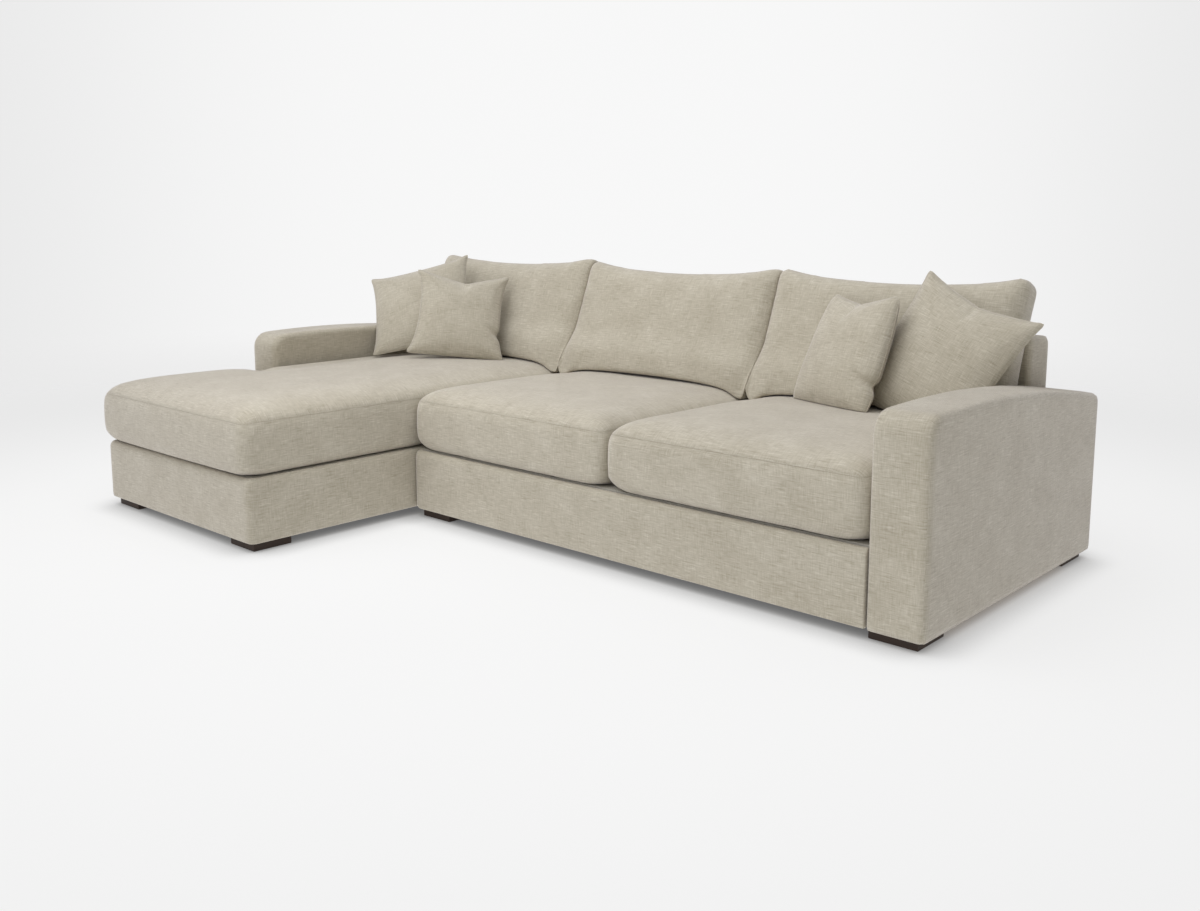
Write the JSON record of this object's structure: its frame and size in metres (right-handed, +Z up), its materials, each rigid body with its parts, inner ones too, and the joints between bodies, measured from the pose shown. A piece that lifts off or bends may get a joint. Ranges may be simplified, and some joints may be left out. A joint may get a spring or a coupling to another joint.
{
  "type": "chaise sofa",
  "caption": "Upholstered chaise sofa with arched arms, loose box seat cushions, leaning back cushions and scatter cushions, on low dark wood block feet",
  "frame": {"origin": "centre of the overall bounding box, on the floor", "axes": "+X to the viewer's right along the seat run, seen from the front; +Y to the back; +Z up"},
  "size_m": [3.164, 1.921, 0.9541],
  "materials": {
    "cushion_cloth": "slub linen weave over soft filling",
    "scatter_cloth": "slub linen weave over feather filling",
    "frame_cloth": "slub linen weave over padding",
    "dust_cloth": "black nonwoven cloth",
    "zinc_steel": "zinc plated",
    "webbing": "woven elastic webbing",
    "deck_felt": "felted pad with plain cloth",
    "dark_wood": "dark stained, satin",
    "frame_timber": "planed softwood and plywood"
  },
  "bodies": {
    "sofa_frame": {"chaise_arm_bolts": "zinc_steel", "chaise_arm_cover": "frame_cloth", "chaise_arm_panels": "frame_timber", "chaise_arm_posts": "frame_timber", "chaise_arm_rails": "frame_timber", "chaise_arm_top_board": "frame_timber", "chaise_back_cover": "frame_cloth", "chaise_back_posts": "frame_timber", "chaise_back_rails": "frame_timber", "chaise_back_webbing": "webbing", "chaise_border_front": "frame_cloth", "chaise_border_left": "frame_cloth", "chaise_border_right": "frame_cloth", "chaise_corner_blocks": "frame_timber", "chaise_cross_rails": "frame_timber", "chaise_deck": "deck_felt", "chaise_dust_cover": "dust_cloth", "chaise_feet": "dark_wood", "chaise_foot_bolts": "zinc_steel", "chaise_front_rail": "frame_timber", "chaise_rear_rail": "frame_timber", "chaise_side_rails": "frame_timber", "chaise_webbing_across": "webbing", "chaise_webbing_front_to_back": "webbing", "section_bolts": "zinc_steel", "sofa_arm_bolts": "zinc_steel", "sofa_arm_cover": "frame_cloth", "sofa_arm_panels": "frame_timber", "sofa_arm_posts": "frame_timber", "sofa_arm_rails": "frame_timber", "sofa_arm_top_board": "frame_timber", "sofa_back_cover": "frame_cloth", "sofa_back_posts": "frame_timber", "sofa_back_rails": "frame_timber", "sofa_back_webbing": "webbing", "sofa_border_front": "frame_cloth", "sofa_border_left": "frame_cloth", "sofa_corner_blocks": "frame_timber", "sofa_cross_rails": "frame_timber", "sofa_deck": "deck_felt", "sofa_dust_cover": "dust_cloth", "sofa_feet": "dark_wood", "sofa_foot_bolts": "zinc_steel", "sofa_front_rail": "frame_timber", "sofa_rear_rail": "frame_timber", "sofa_side_rails": "frame_timber", "sofa_webbing_across": "webbing", "sofa_webbing_front_to_back": "webbing"},
    "chaise_cushion_body": {"chaise_cushion": "cushion_cloth"},
    "seat_cushion_left_body": {"seat_cushion_left": "cushion_cloth"},
    "seat_cushion_right_body": {"seat_cushion_right": "cushion_cloth"},
    "back_cushion_left_body": {"back_cushion_left": "cushion_cloth"},
    "back_cushion_middle_body": {"back_cushion_middle": "cushion_cloth"},
    "back_cushion_right_body": {"back_cushion_right": "cushion_cloth"},
    "scatter_small_left_body": {"scatter_small_left": "scatter_cloth"},
    "scatter_large_left_body": {"scatter_large_left": "scatter_cloth"},
    "scatter_small_right_body": {"scatter_small_right": "scatter_cloth"},
    "scatter_large_right_body": {"scatter_large_right": "scatter_cloth"}
  },
  "joints": [
    {"name": "chaise_cushion_slide", "type": "slide", "parent": "sofa_frame", "child": "chaise_cushion_body", "axis": [0, -1, 0], "range_m": [0, 1.76]},
    {"name": "seat_cushion_left_slide", "type": "slide", "parent": "sofa_frame", "child": "seat_cushion_left_body", "axis": [0, -1, 0], "range_m": [0, 1.05]},
    {"name": "seat_cushion_right_slide", "type": "slide", "parent": "sofa_frame", "child": "seat_cushion_right_body", "axis": [0, -1, 0], "range_m": [0, 1.05]},
    {"name": "back_cushion_left_slide", "type": "slide", "parent": "sofa_frame", "child": "back_cushion_left_body", "axis": [0, 0.3681, 0.9298], "range_m": [0, 0.45]},
    {"name": "back_cushion_middle_slide", "type": "slide", "parent": "sofa_frame", "child": "back_cushion_middle_body", "axis": [0, 0.3681, 0.9298], "range_m": [0, 0.45]},
    {"name": "back_cushion_right_slide", "type": "slide", "parent": "sofa_frame", "child": "back_cushion_right_body", "axis": [0, 0.3681, 0.9298], "range_m": [0, 0.45]},
    {"name": "scatter_small_left_slide", "type": "slide", "parent": "sofa_frame", "child": "scatter_small_left_body", "axis": [0, 0, 1], "range_m": [0, 0.45]},
    {"name": "scatter_large_left_slide", "type": "slide", "parent": "sofa_frame", "child": "scatter_large_left_body", "axis": [-0.4181, 0.4181, 0.8064], "range_m": [0, 0.45]},
    {"name": "scatter_small_right_slide", "type": "slide", "parent": "sofa_frame", "child": "scatter_small_right_body", "axis": [0, 0.3102, 0.9507], "range_m": [0, 0.45]},
    {"name": "scatter_large_right_slide", "type": "slide", "parent": "sofa_frame", "child": "scatter_large_right_body", "axis": [0.1599, 0.3597, 0.9193], "range_m": [0, 0.45]}
  ]
}
